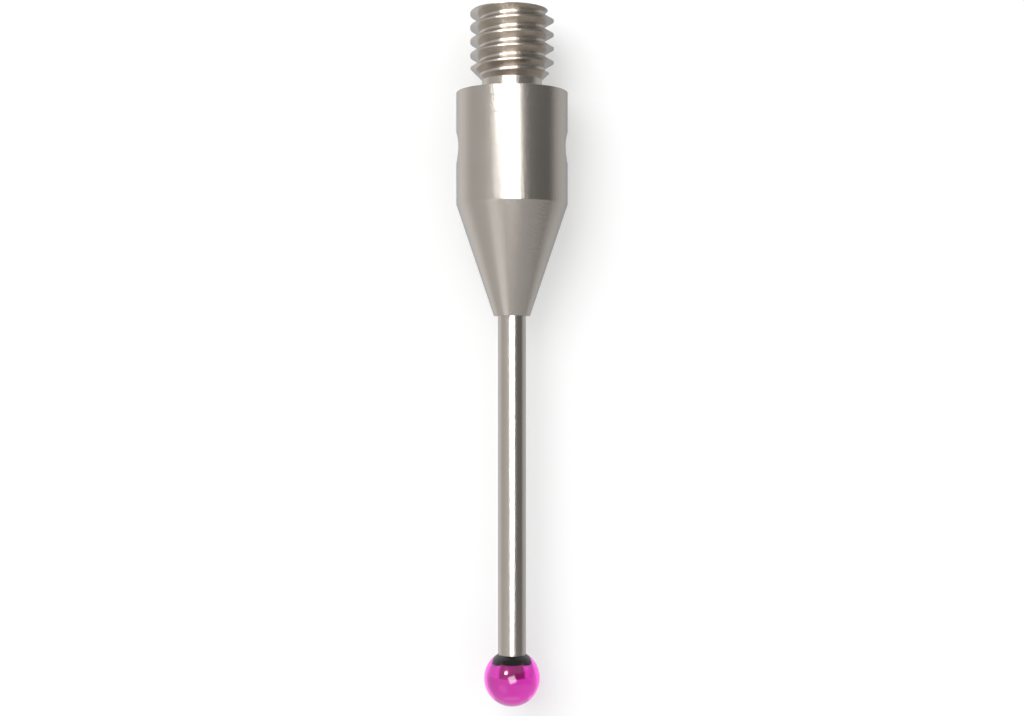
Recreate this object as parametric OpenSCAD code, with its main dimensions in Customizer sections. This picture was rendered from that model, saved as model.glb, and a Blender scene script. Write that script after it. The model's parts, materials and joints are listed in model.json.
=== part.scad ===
// Straight stylus for a coordinate measuring machine: a turned holder with a threaded stud,
// a carbide stem and a ruby ball. Millimetres.
// The origin is the centre of the seat face, with the stud above it and the ball below it.

/* [Thread] */
// Major diameter of the stud's thread
thread_d = 3; // [2:0.1:3.4]
// Pitch of the thread
thread_pitch = 0.5; // [0.4:0.05:0.6]
// Turn of the thread about the axis, in degrees
thread_turn = 122; // [0:1:360]
// Length of the stud above the seat
stud_len = 2.92; // [2:0.02:6]
// Length of the plain neck between the seat and the thread's run-out
neck_len = 0.45; // [0.3:0.05:0.8]
// Depth of the neck below the thread's root
neck_cut = 0.12; // [0.05:0.01:0.2]

/* [Body] */
// Diameter of the cylindrical body and its seat
body_d = 4; // [3.8:0.1:6]
// Length of the cylindrical body
body_len = 4; // [3:0.1:8]
// Length of the cone under the body
cone_len = 4; // [2:0.1:8]
// Width of the flat rim around the stem at the cone's small end
cone_rim = 0.15; // [0.1:0.01:0.4]
// Diameter of the cross hole for a pin spanner
cross_hole_d = 1.2; // [0.8:0.1:1.6]
// Distance from the seat to the centre of the cross hole
cross_hole_drop = 2; // [1.2:0.1:2.2]
// Width of the broken edges
edge_break = 0.03; // [0.01:0.01:0.06]

/* [Stem] */
// Diameter of the stem
stem_d = 1; // [0.6:0.05:1.1]
// Solid wall between the cross hole and the point of the stem's bore
bore_wall = 1.1; // [0.5:0.1:2]

/* [Ball] */
// Diameter of the ball
ball_d = 2; // [1.6:0.1:5]
// Distance from the seat to the centre of the ball
gauge_len = 21; // [14:0.5:60]
// Height of the hole's floor above the centre of the ball
ball_hole_floor = 0.05; // [0:0.01:0.2]

/* [Fits] */
// Adhesive film around the stem and at its ends
bond_gap = 0.02; // [0.01:0.005:0.04]

/* [Hidden] */
$fn = 96;

// Metric thread form: 60 degree flanks and a flat crest, cut to 17/24 of the sharp thread's depth
flank_angle = 30;
thread_r = thread_d / 2;
crest_flat = thread_pitch / 8;
thread_depth = 17 / 24 * thread_pitch * cos(flank_angle);
root_r = thread_r - thread_depth;
groove_half = (thread_pitch - crest_flat) / 2;
root_half = groove_half - thread_depth * tan(flank_angle);

// The groove's cutter reaches a little past the crest, and neighbouring turns stay apart
groove_over = crest_flat / 2;
groove_r = thread_r + groove_over;
groove_rim_half = groove_half + groove_over * tan(flank_angle);

// Section of the cutter, as radius and height from its middle
groove_section = [
    [root_r, -root_half],
    [groove_r, -groove_rim_half],
    [groove_r, groove_rim_half],
    [root_r, root_half]
];
groove_corners = len(groove_section);

// The cutter's middle climbs from just above the seat to just past the end of the stud
groove_bottom = groove_rim_half + groove_over;
groove_rise = stud_len;
groove_steps_per_turn = 36;
groove_steps = ceil(groove_rise / thread_pitch * groove_steps_per_turn);

// The run-out is a 45 degree cone from the neck up to the thread's crest
neck_r = root_r - neck_cut;
runout_top = neck_len + thread_r - neck_r;

body_r = body_d / 2;
holder_len = body_len + cone_len;

// The bore is drilled, so it ends in a 118 degree point
stem_r = stem_d / 2;
bore_r = stem_r + bond_gap;
drill_point_angle = 118;
drill_point_len = bore_r / tan(drill_point_angle / 2);
bore_floor = -(cross_hole_drop + cross_hole_d / 2 + bore_wall + drill_point_len);

// The cutters start this far outside the faces they cut
overcut = 1;

stem_top = bore_floor - bond_gap;
ball_r = ball_d / 2;
hole_floor = ball_hole_floor - gauge_len;
stem_bottom = hole_floor + bond_gap;

holder_colour = [0.72, 0.71, 0.69];
stem_colour = [0.55, 0.54, 0.53];
ball_colour = [0.80, 0.16, 0.62];

// Half of the holder's turned outline, from the end of the stud down to the end of the cone
module holder_outline() {
    polygon([
        [0, stud_len],
        [thread_r, stud_len],
        [thread_r, runout_top],
        [neck_r, neck_len],
        [neck_r, 0],
        [body_r - edge_break, 0],
        [body_r, -edge_break],
        [body_r, -body_len],
        [stem_r + cone_rim, -holder_len],
        [0, -holder_len]
    ]);
}

// The cutter's section at one step of its right-hand helix
function groove_ring(step) =
    let (height = groove_bottom + groove_rise * step / groove_steps)
    let (angle = thread_turn + 360 * height / thread_pitch)
    [for (corner = groove_section)
        [corner[0] * cos(angle), corner[0] * sin(angle), height + corner[1]]];

// The four-cornered faces between one step and the next
function groove_sides(step) =
    let (low = step * groove_corners)
    let (high = low + groove_corners)
    [for (k = [0 : groove_corners - 1])
        let (next = (k + 1) % groove_corners)
        [low + k, low + next, high + next, high + k]];

module thread_groove() {
    last_ring = groove_steps * groove_corners;
    polyhedron(
        points = [for (step = [0 : groove_steps]) each groove_ring(step)],
        faces = concat(
            [[for (k = [groove_corners - 1 : -1 : 0]) k]],
            [for (step = [0 : groove_steps - 1]) each groove_sides(step)],
            [[for (k = [0 : groove_corners - 1]) last_ring + k]]
        )
    );
}

module stem_bore() {
    translate([0, 0, -holder_len - overcut])
        cylinder(r = bore_r, h = bore_floor + holder_len + overcut);
    translate([0, 0, bore_floor])
        cylinder(r1 = bore_r, r2 = 0, h = drill_point_len);
}

module cross_hole() {
    translate([0, 0, -cross_hole_drop])
        rotate([0, 90, 0])
            cylinder(d = cross_hole_d, h = body_d + 2 * overcut, center = true);
}

module holder() {
    color(holder_colour)
        difference() {
            rotate_extrude() holder_outline();
            thread_groove();
            cross_hole();
            stem_bore();
        }
}

module stem() {
    color(stem_colour)
        rotate_extrude()
            polygon([
                [0, stem_top],
                [stem_r - edge_break, stem_top],
                [stem_r, stem_top - edge_break],
                [stem_r, stem_bottom + edge_break],
                [stem_r - edge_break, stem_bottom],
                [0, stem_bottom]
            ]);
}

module ball() {
    color(ball_colour)
        difference() {
            translate([0, 0, -gauge_len]) sphere(r = ball_r);
            translate([0, 0, hole_floor]) cylinder(r = bore_r, h = ball_r + overcut);
        }
}

holder();
stem();
ball();
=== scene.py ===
import json
import math

import bmesh
import bpy
from mathutils import Matrix, Vector


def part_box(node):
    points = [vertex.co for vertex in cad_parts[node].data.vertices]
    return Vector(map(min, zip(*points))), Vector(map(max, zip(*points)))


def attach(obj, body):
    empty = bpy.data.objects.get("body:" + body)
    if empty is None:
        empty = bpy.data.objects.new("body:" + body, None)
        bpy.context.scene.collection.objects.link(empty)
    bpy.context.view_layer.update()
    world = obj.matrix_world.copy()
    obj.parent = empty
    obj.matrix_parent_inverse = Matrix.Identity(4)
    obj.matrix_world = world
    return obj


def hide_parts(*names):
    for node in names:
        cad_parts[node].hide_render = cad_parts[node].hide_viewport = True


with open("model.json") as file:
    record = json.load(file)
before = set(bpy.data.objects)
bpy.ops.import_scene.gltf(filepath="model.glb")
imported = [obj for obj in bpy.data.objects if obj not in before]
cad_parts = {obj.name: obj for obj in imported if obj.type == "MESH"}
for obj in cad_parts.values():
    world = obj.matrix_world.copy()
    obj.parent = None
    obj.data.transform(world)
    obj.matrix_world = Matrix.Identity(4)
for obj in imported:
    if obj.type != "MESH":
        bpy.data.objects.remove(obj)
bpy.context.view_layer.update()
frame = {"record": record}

# Sizes that the frame gives, in millimetres like every mesh here until it is placed
MM = 0.001
mounts = {mount["name"]: mount for mount in frame["record"]["mounts"]}
holder_low, holder_high = [Vector(corner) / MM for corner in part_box("holder")]
stem_low, stem_high = [Vector(corner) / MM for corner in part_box("stem")]
ball_low, ball_high = [Vector(corner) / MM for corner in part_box("ball")]
STUD_END = holder_high.z
HOLDER_END = holder_low.z
BODY_R = holder_high.x
STEM_R = stem_high.x
STEM_TOP = stem_high.z
STEM_END = stem_low.z
BALL_R = ball_high.x
BALL_Z = ball_low.z + BALL_R
THREAD_R = mounts["m3_thread"]["dims"]["r_mm"]
CROSS_HOLE_R = mounts["spanner_hole"]["dims"]["r_mm"]
CROSS_HOLE_Z = mounts["spanner_hole"]["pos_m"][2] / MM

# Sizes of the turned outline and the fits
BODY_LEN = 4.0
CONE_RIM = 0.15
NECK_LEN = 0.45
NECK_CUT = 0.12
EDGE_BREAK = 0.01
BOND_GAP = 0.02
BALL_GAP = 0.01
DRILL_POINT_ANGLE = math.radians(118)

# Metric thread form: 60 degree flanks and a flat crest, cut to 17/24 of the sharp thread's depth
PITCH = 0.5
THREAD_TURN = math.radians(122)
FLANK_ANGLE = math.radians(30)
CREST_FLAT = PITCH / 8
THREAD_DEPTH = 17 / 24 * PITCH * math.cos(FLANK_ANGLE)

# Fineness of the meshes. Points closer than the weld distance become one.
LATHE_STEPS = 256
GROOVE_STEPS_PER_TURN = 192
BALL_RINGS = 128
SHARP_ANGLE = math.radians(12)
WELD_DISTANCE = 0.0001

# The metals: colours that are a little cloudy, gloss, and the sizes of the tool marks and the grain
STEEL_DARK = (0.60, 0.550, 0.498)
STEEL_LIGHT = (0.64, 0.590, 0.534)
CARBIDE_DARK = (0.63, 0.570, 0.516)
CARBIDE_LIGHT = (0.67, 0.611, 0.552)
METAL_ROUGHNESS = (0.255, 0.26)
MARK_SPACING = 0.02
MARK_DEPTH = 0.00002
MARK_DETAIL = 3.0
NOISE_DETAIL = 2.0
GRAIN_SIZE = 0.06
GRAIN_DEPTH = 0.006
METAL_CLOUDS_PER_MM = 0.9

# The ruby, whose colour is a little cloudy
RUBY_DARK = (0.69, 0.034, 0.46)
RUBY_LIGHT = (0.73, 0.042, 0.50)
RUBY_IOR = 1.57
RUBY_POLISH = 0.45
RUBY_CLOUDS_PER_MM = 1.5

# Colours on the stem in the ball: a near-black ring at the hole's mouth, and a white film under it.
# The ring's lower edge is this far above the ball's centre.
RING_RISE = 0.48
MOUTH_RING_COLOUR = (0.01, 0.01, 0.01)
UNDER_RING_FILM_COLOUR = (1.0, 1.0, 1.0)


def new_object(name, data):
    item = bpy.data.objects.new(name, data)
    bpy.context.scene.collection.objects.link(item)
    return item


def as_mesh(shape):
    bmesh.ops.recalc_face_normals(shape, faces=shape.faces)
    mesh = bpy.data.meshes.new("mesh")
    shape.to_mesh(mesh)
    shape.free()
    return mesh


def lathe(outline):
    """Closed mesh turned about Z from (radius, height) points that start and end on the axis."""
    shape = bmesh.new()
    rings = []
    for radius, height in outline:
        count = LATHE_STEPS if radius > 0 else 1
        turns = [2 * math.pi * i / LATHE_STEPS for i in range(count)]
        rings.append([
            shape.verts.new((radius * math.cos(turn), radius * math.sin(turn), height))
            for turn in turns
        ])
    for upper, lower in zip(rings, rings[1:]):
        for i in range(LATHE_STEPS):
            j = (i + 1) % LATHE_STEPS
            corners = [
                upper[i % len(upper)],
                lower[i % len(lower)],
                lower[j % len(lower)],
                upper[j % len(upper)],
            ]
            shape.faces.new(list(dict.fromkeys(corners)))
    return as_mesh(shape)


def thread_cutter():
    """The helical groove of the thread, from just above the seat to just past the stud's end."""
    over = CREST_FLAT / 2
    groove_half = (PITCH - CREST_FLAT) / 2
    rim_r = THREAD_R + over
    rim_half = groove_half + over * math.tan(FLANK_ANGLE)
    root_r = THREAD_R - THREAD_DEPTH
    root_half = groove_half - THREAD_DEPTH * math.tan(FLANK_ANGLE)
    section = [(root_r, -root_half), (rim_r, -rim_half), (rim_r, rim_half), (root_r, root_half)]
    bottom = rim_half + over
    steps = math.ceil(STUD_END / PITCH * GROOVE_STEPS_PER_TURN)
    shape = bmesh.new()
    rings = []
    for step in range(steps + 1):
        height = bottom + STUD_END * step / steps
        turn = THREAD_TURN + 2 * math.pi * height / PITCH
        rings.append([
            shape.verts.new((radius * math.cos(turn), radius * math.sin(turn), height + offset))
            for radius, offset in section
        ])
    for low, high in zip(rings, rings[1:]):
        for k in range(len(section)):
            n = (k + 1) % len(section)
            shape.faces.new([low[k], low[n], high[n], high[k]])
    shape.faces.new(rings[0])
    shape.faces.new(rings[-1])
    return as_mesh(shape)


def cross_hole_cutter():
    reach = 2 * BODY_R
    mesh = lathe([(0, reach), (CROSS_HOLE_R, reach), (CROSS_HOLE_R, -reach), (0, -reach)])
    mesh.transform(Matrix.Translation((0, 0, CROSS_HOLE_Z)) @ Matrix.Rotation(math.radians(90), 4, "Y"))
    return mesh


def cut(mesh, cutters):
    """The mesh with each cutter taken out of it, and points that nearly meet made one."""
    blank = new_object("blank", mesh)
    tools = [new_object("cutter", cutter) for cutter in cutters]
    for tool in tools:
        step = blank.modifiers.new("cut", "BOOLEAN")
        step.operation = "DIFFERENCE"
        step.solver = "EXACT"
        step.object = tool
    whole = bpy.data.meshes.new_from_object(blank.evaluated_get(bpy.context.evaluated_depsgraph_get()))
    for item in [blank] + tools:
        bpy.data.objects.remove(item)
    shape = bmesh.new()
    shape.from_mesh(whole)
    bmesh.ops.remove_doubles(shape, verts=shape.verts, dist=WELD_DISTANCE)
    return as_mesh(shape)


def holder_mesh():
    neck_r = THREAD_R - THREAD_DEPTH - NECK_CUT
    runout_top = NECK_LEN + THREAD_R - neck_r
    bore_r = STEM_R + BOND_GAP
    bore_floor = STEM_TOP + BOND_GAP
    blank = lathe([
        (0, STUD_END),
        (THREAD_R, STUD_END),
        (THREAD_R, runout_top),
        (neck_r, NECK_LEN),
        (neck_r, 0),
        (BODY_R - EDGE_BREAK, 0),
        (BODY_R, -EDGE_BREAK),
        (BODY_R, -BODY_LEN),
        (STEM_R + CONE_RIM, HOLDER_END),
        (bore_r, HOLDER_END),
        (bore_r, bore_floor),
        (0, bore_floor + bore_r / math.tan(DRILL_POINT_ANGLE / 2)),
    ])
    return cut(blank, [thread_cutter(), cross_hole_cutter()])


def stem_mesh():
    return lathe([
        (0, STEM_TOP),
        (STEM_R - EDGE_BREAK, STEM_TOP),
        (STEM_R, STEM_TOP - EDGE_BREAK),
        (STEM_R, STEM_END + EDGE_BREAK),
        (STEM_R - EDGE_BREAK, STEM_END),
        (0, STEM_END),
    ])


def ball_mesh():
    hole_r = STEM_R + BALL_GAP
    mouth = math.asin(hole_r / BALL_R)
    bends = [mouth + (math.pi - mouth) * i / BALL_RINGS for i in range(BALL_RINGS)]
    skin = [(BALL_R * math.sin(bend), BALL_Z + BALL_R * math.cos(bend)) for bend in bends]
    return lathe([
        (0, STEM_END - BOND_GAP),
        (hole_r, STEM_END - BOND_GAP),
        *skin,
        (0, BALL_Z - BALL_R),
    ])


def place(name, mesh, material, node):
    """Turns a millimetre mesh into the piece that stands for a node."""
    mesh.transform(Matrix.Scale(MM, 4))
    mesh.materials.append(material)
    mesh.shade_smooth()
    mesh.set_sharp_from_angle(angle=SHARP_ANGLE)
    piece = new_object(name, mesh)
    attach(piece, "root")
    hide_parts(node)


class Nodes:
    """Short ways to add and join shader nodes."""

    def __init__(self, owner):
        owner.use_nodes = True
        self.tree = owner.node_tree
        self.tree.nodes.clear()

    def add(self, kind, inputs=None, **settings):
        node = self.tree.nodes.new(kind)
        for key, value in settings.items():
            setattr(node, key, value)
        for key, value in (inputs or {}).items():
            if isinstance(value, bpy.types.NodeSocket):
                self.tree.links.new(value, node.inputs[key])
            else:
                node.inputs[key].default_value = value
        return node

    def math(self, operation, first, second):
        return self.add("ShaderNodeMath", {0: first, 1: second}, operation=operation).outputs["Value"]

    def position(self):
        return self.add("ShaderNodeTexCoord").outputs["Object"]

    def axes(self, vector):
        return self.add("ShaderNodeSeparateXYZ", {"Vector": vector}).outputs

    def noise(self, vector, scale, detail=NOISE_DETAIL):
        inputs = {"Vector": vector, "Scale": scale, "Detail": detail}
        return self.add("ShaderNodeTexNoise", inputs).outputs[0]

    def colour_mix(self, share, first, second):
        inputs = {"Factor": share, "A": first, "B": second}
        return self.add("ShaderNodeMix", inputs, data_type="RGBA").outputs["Result"]

    def surface(self, shader):
        self.add("ShaderNodeOutputMaterial", {"Surface": shader.outputs[0]})


def metal(name, dark, light, films=()):
    """Turned or ground metal: faint rings about the axis, and a fine grain over them.
    Each film is a stretch of heights and the colour that covers it there."""
    material = bpy.data.materials.new(name)
    nodes = Nodes(material)
    position = nodes.position()
    axes = nodes.axes(position)

    cloud = nodes.noise(position, METAL_CLOUDS_PER_MM / MM)
    colour = nodes.colour_mix(cloud, (*dark, 1), (*light, 1))
    for low, high, tone in films:
        over = nodes.math("GREATER_THAN", axes["Z"], low * MM)
        under = nodes.math("LESS_THAN", axes["Z"], high * MM)
        colour = nodes.colour_mix(nodes.math("MULTIPLY", over, under), colour, (*tone, 1))

    # The rings follow the height and the radius, so that they lie on flat ends too
    flat = nodes.add("ShaderNodeCombineXYZ", {"X": axes["X"], "Y": axes["Y"]}).outputs["Vector"]
    radius = nodes.add("ShaderNodeVectorMath", {0: flat}, operation="LENGTH").outputs["Value"]
    along = nodes.math("MULTIPLY", nodes.math("ADD", radius, axes["Z"]), 1 / (MARK_SPACING * MM))
    x_mm = nodes.math("MULTIPLY", axes["X"], 1 / MM)
    y_mm = nodes.math("MULTIPLY", axes["Y"], 1 / MM)
    rings = nodes.add("ShaderNodeCombineXYZ", {"X": x_mm, "Y": y_mm, "Z": along}).outputs["Vector"]
    marks = nodes.noise(rings, 1.0, MARK_DETAIL)
    low_gloss, high_gloss = METAL_ROUGHNESS
    gloss = nodes.add("ShaderNodeMapRange", {"Value": marks, "To Min": low_gloss, "To Max": high_gloss})
    ring_relief = nodes.add("ShaderNodeBump", {"Height": marks, "Distance": MARK_DEPTH * MM})
    grain = nodes.noise(position, 1 / (GRAIN_SIZE * MM))
    relief = nodes.add("ShaderNodeBump", {
        "Height": grain, "Distance": GRAIN_DEPTH * MM, "Normal": ring_relief.outputs["Normal"]})

    nodes.surface(nodes.add("ShaderNodeBsdfPrincipled", {
        "Base Color": colour,
        "Metallic": 1.0,
        "Roughness": gloss.outputs["Result"],
        "Normal": relief.outputs["Normal"],
    }))
    return material


def ruby():
    material = bpy.data.materials.new("ruby")
    nodes = Nodes(material)
    cloud = nodes.noise(nodes.position(), RUBY_CLOUDS_PER_MM / MM)
    nodes.surface(nodes.add("ShaderNodeBsdfPrincipled", {
        "Base Color": nodes.colour_mix(cloud, (*RUBY_DARK, 1), (*RUBY_LIGHT, 1)),
        "Roughness": 0.0,
        "IOR": RUBY_IOR,
        "Transmission Weight": 1.0,
        "Coat Weight": RUBY_POLISH,
        "Coat Roughness": 0.0,
    }))
    return material


ring_low = BALL_Z + RING_RISE
ring_high = BALL_Z + math.sqrt(BALL_R ** 2 - STEM_R ** 2)
# A near-black ring on the stem at the ball's mouth, and a white film below it
stem_bands = [(ring_low, ring_high, MOUTH_RING_COLOUR), (STEM_END, ring_low, UNDER_RING_FILM_COLOUR)]
steel = metal("stainless_steel", STEEL_DARK, STEEL_LIGHT)
carbide = metal("tungsten_carbide", CARBIDE_DARK, CARBIDE_LIGHT, stem_bands)
place("stylus_holder", holder_mesh(), steel, "holder")
place("stylus_stem", stem_mesh(), carbide, "stem")
place("ruby_ball", ball_mesh(), ruby(), "ball")

# The camera looks square at the axis, as the photo does
CAMERA_DISTANCE = 54.2
CAMERA_HEIGHT = -9.51
CAMERA_LENS = 53.07
camera = bpy.data.cameras.new("camera")
camera.lens = CAMERA_LENS
camera.clip_start = MM
viewer = new_object("camera", camera)
viewer.location = Vector((0, -CAMERA_DISTANCE, CAMERA_HEIGHT)) * MM
viewer.rotation_euler = (math.radians(90), 0, 0)
bpy.context.scene.camera = viewer

# The pale sheet that the stylus lies on
SHEET_SIZE = 160.0
SHEET_ALBEDO = 0.7
SHEET_GLOW = 0.3
# The sheet as the metal and the ruby mirror it is a painted reflection: its colour by the slant of the
# ray, from straight on at 0 to flat at 1, darker and a little blue straight on as painted contact shade
SHEET_PAINTED_REFLECTION = {
    0.0: (0.52, 0.56, 0.60),
    0.35: (0.81, 0.82, 0.83),
    0.6: (0.76, 0.76, 0.76),
    1.0: (0.45, 0.45, 0.45),
}
# The right side has this share of that brightness, a painted shadow where the shadow falls, and the sides
# blend within this distance of the axis
SHEET_PAINTED_SHADOW_SHARE = 0.72
SHEET_BLEND = 3.0

# Walls of the studio, on a sphere around the stylus. Angles are in degrees: azimuth 0 is the camera's
# side, and positive is to the right. A level of 1 is white.
WALL_DISTANCE = 160.0
WALL_STEP = 5
WALLS = {
    "left_wall": {"azimuths": (-130, 15), "elevations": (-20, 25), "level": 0.52},
    "left_foot": {"azimuths": (-130, -15), "elevations": (-70, -20), "level": 0.56},
    "front_foot": {"azimuths": (-15, 20), "elevations": (-70, -20), "level": 0.42},
    "right_wall": {"azimuths": (15, 105), "elevations": (-20, 25), "level": 0.14},
    "far_right_wall": {"azimuths": (105, 130), "elevations": (-20, 25), "level": 0.22},
    "upper_wall": {"azimuths": (-130, 130), "elevations": (25, 55), "level": 0.6},
    "roof": {"azimuths": (-130, 130), "elevations": (55, 90), "level": 0.3},
    "right_foot": {"azimuths": (20, 130), "elevations": (-70, -20), "level": 0.45},
}

# Flat lamps before the walls. A direction is an azimuth and an elevation. The spread is the angle from
# a lamp's middle to its corners, and the light dies away over the fade's share of that, at the rim.
LAMP_DISTANCE = 140.0
ROUND = 32
SQUARE = 4
LAMPS = {
    "key_lamp": {"direction": (-28, 26), "spread": 10, "sides": ROUND, "level": 22.0, "fade": 0.7},
    "front_softbox": {
        "direction": (1, 0), "spread": 25.4, "roll": 24, "sides": SQUARE, "level": 6.8, "fade": 0.5},
    "low_fill": {"direction": (-42, -36), "spread": 17, "sides": ROUND, "level": 0.95, "fade": 0.1},
}
# This lamp lights the sheet alone
SHEET_LAMP = {"direction": (-22, 22), "spread": 21, "sides": ROUND, "level": 3.75, "fade": 0.01}


def painted_sheet_reflection(nodes):
    # A painted reflection of the sheet: a glow painted darker straight on, as painted contact shade, and
    # dimmer far aside
    slant = nodes.add("ShaderNodeLayerWeight").outputs["Facing"]
    ramp = nodes.add("ShaderNodeValToRGB", {"Fac": slant})
    stops = ramp.color_ramp.elements
    while len(stops) < len(SHEET_PAINTED_REFLECTION):
        stops.new(1.0)
    for stop, (position, colour) in zip(stops, SHEET_PAINTED_REFLECTION.items()):
        stop.position = position
        stop.color = (*colour, 1)
    # Painted shadow: the right side glows at a lower share, where the shadow falls
    side = nodes.add("ShaderNodeMapRange", {
        "Value": nodes.axes(nodes.position())["X"],
        "From Min": -SHEET_BLEND * MM,
        "From Max": SHEET_BLEND * MM,
        "To Min": 1.0,
        "To Max": SHEET_PAINTED_SHADOW_SHARE,
    })
    return nodes.add("ShaderNodeEmission", {
        "Color": ramp.outputs["Color"], "Strength": side.outputs["Result"]})


def sheet_material():
    """Pale paper that takes shadows, and shows gloss a painted reflection of itself in place of the lit
    paper. It shows from its front only.
    """
    material = bpy.data.materials.new("pale_sheet")
    nodes = Nodes(material)
    path = nodes.add("ShaderNodeLightPath").outputs
    paper = nodes.add("ShaderNodeBsdfDiffuse", {"Color": (SHEET_ALBEDO, SHEET_ALBEDO, SHEET_ALBEDO, 1)})
    direct = nodes.math("MAXIMUM", path["Is Camera Ray"], path["Is Transmission Ray"])
    glow = nodes.add("ShaderNodeEmission", {"Strength": nodes.math("MULTIPLY", direct, SHEET_GLOW)})
    lit = nodes.add("ShaderNodeAddShader", {0: paper.outputs[0], 1: glow.outputs[0]})
    # Glossy rays see the painted reflection in place of the lit paper and its glow
    painted_reflection = painted_sheet_reflection(nodes)
    mirrored = nodes.math("SUBTRACT", path["Is Glossy Ray"], path["Is Transmission Ray"])
    front = nodes.add("ShaderNodeMixShader", {0: mirrored, 1: lit.outputs[0], 2: painted_reflection.outputs[0]})
    back = nodes.add("ShaderNodeBsdfTransparent")
    behind = nodes.add("ShaderNodeNewGeometry").outputs["Backfacing"]
    nodes.surface(nodes.add("ShaderNodeMixShader", {0: behind, 1: front.outputs[0], 2: back.outputs[0]}))
    return material


def wall_material(name, level):
    material = bpy.data.materials.new(name)
    nodes = Nodes(material)
    nodes.surface(nodes.add("ShaderNodeEmission", {"Strength": level}))
    return material


def lamp_material(name, level, fade):
    """A glow that dies away towards the lamp's rim."""
    material = bpy.data.materials.new(name)
    nodes = Nodes(material)
    inward = nodes.add("ShaderNodeAttribute", attribute_name="inward").outputs["Fac"]
    strength = nodes.add("ShaderNodeMapRange", {
        "Value": inward, "From Max": fade, "To Max": level}, interpolation_type="SMOOTHSTEP")
    nodes.surface(nodes.add("ShaderNodeEmission", {"Strength": strength.outputs["Result"]}))
    return material


def stage_piece(name, corners, faces, material):
    mesh = bpy.data.meshes.new(name)
    mesh.from_pydata([Vector(corner) * MM for corner in corners], [], faces)
    mesh.materials.append(material)
    piece = new_object(name, mesh)
    return piece


def light_piece(name, corners, faces, material):
    """A piece of the studio around the stylus that shows in gloss and glass alone."""
    middle = Vector((0, 0, CAMERA_HEIGHT))
    piece = stage_piece(name, [middle + corner for corner in corners], faces, material)
    piece.visible_camera = False
    piece.visible_diffuse = False
    piece.visible_shadow = False
    return piece


def towards(azimuth, elevation):
    side = math.radians(azimuth)
    rise = math.radians(elevation)
    return Vector((math.cos(rise) * math.sin(side), -math.cos(rise) * math.cos(side), math.sin(rise)))


def wall(name, azimuths, elevations, level):
    columns = round((azimuths[1] - azimuths[0]) / WALL_STEP)
    rows = round((elevations[1] - elevations[0]) / WALL_STEP)
    corners = [
        WALL_DISTANCE * towards(azimuths[0] + WALL_STEP * column, elevations[0] + WALL_STEP * row)
        for row in range(rows + 1)
        for column in range(columns + 1)
    ]
    faces = []
    for row in range(rows):
        for column in range(columns):
            low = row * (columns + 1) + column
            high = low + columns + 1
            faces.append((low, low + 1, high + 1, high))
    light_piece(name, corners, faces, wall_material(name, level))


def lamp(name, direction, spread, sides, level, fade, roll=0):
    """A flat lamp that faces the stylus, with one corner at its top before its roll."""
    out = towards(*direction)
    right = Vector((0, 0, 1)).cross(out).normalized()
    up = out.cross(right)
    middle = LAMP_DISTANCE * out
    reach = LAMP_DISTANCE * math.tan(math.radians(spread))
    turns = [math.radians(roll) + 2 * math.pi * k / sides for k in range(sides)]
    rim = [middle + reach * (math.cos(turn) * up + math.sin(turn) * right) for turn in turns]
    faces = [(0, 1 + k, 1 + (k + 1) % sides) for k in range(sides)]
    piece = light_piece(name, [middle] + rim, faces, lamp_material(name, level, fade))
    inward = piece.data.attributes.new("inward", "FLOAT", "POINT")
    inward.data[0].value = 1.0
    return piece


half = SHEET_SIZE / 2
stage_piece(
    "pale_sheet",
    [(-half, BODY_R, -half), (half, BODY_R, -half), (half, BODY_R, half), (-half, BODY_R, half)],
    [(0, 1, 2, 3)],
    sheet_material(),
)
for name, settings in WALLS.items():
    wall(name, **settings)
for name, settings in LAMPS.items():
    lamp(name, **settings)
sheet_lamp = lamp("sheet_lamp", **SHEET_LAMP)
sheet_lamp.visible_diffuse = True
sheet_lamp.visible_glossy = False
sheet_lamp.visible_transmission = False

# The surroundings are white to the eye, in gloss and in glass, and light the sheet softly
AMBIENT = 0.79
world = bpy.data.worlds.new("surroundings")
bpy.context.scene.world = world
nodes = Nodes(world)
path = nodes.add("ShaderNodeLightPath").outputs
seen = nodes.math("MAXIMUM", path["Is Camera Ray"], path["Is Glossy Ray"])
seen = nodes.math("MAXIMUM", seen, path["Is Transmission Ray"])
strength = nodes.add("ShaderNodeMix", {"Factor": seen, "A": AMBIENT, "B": 1.0}).outputs["Result"]
sky = nodes.add("ShaderNodeBackground", {"Color": (1, 1, 1, 1), "Strength": strength})
nodes.add("ShaderNodeOutputWorld", {"Surface": sky.outputs[0]})

bpy.context.scene.view_settings.view_transform = "Standard"
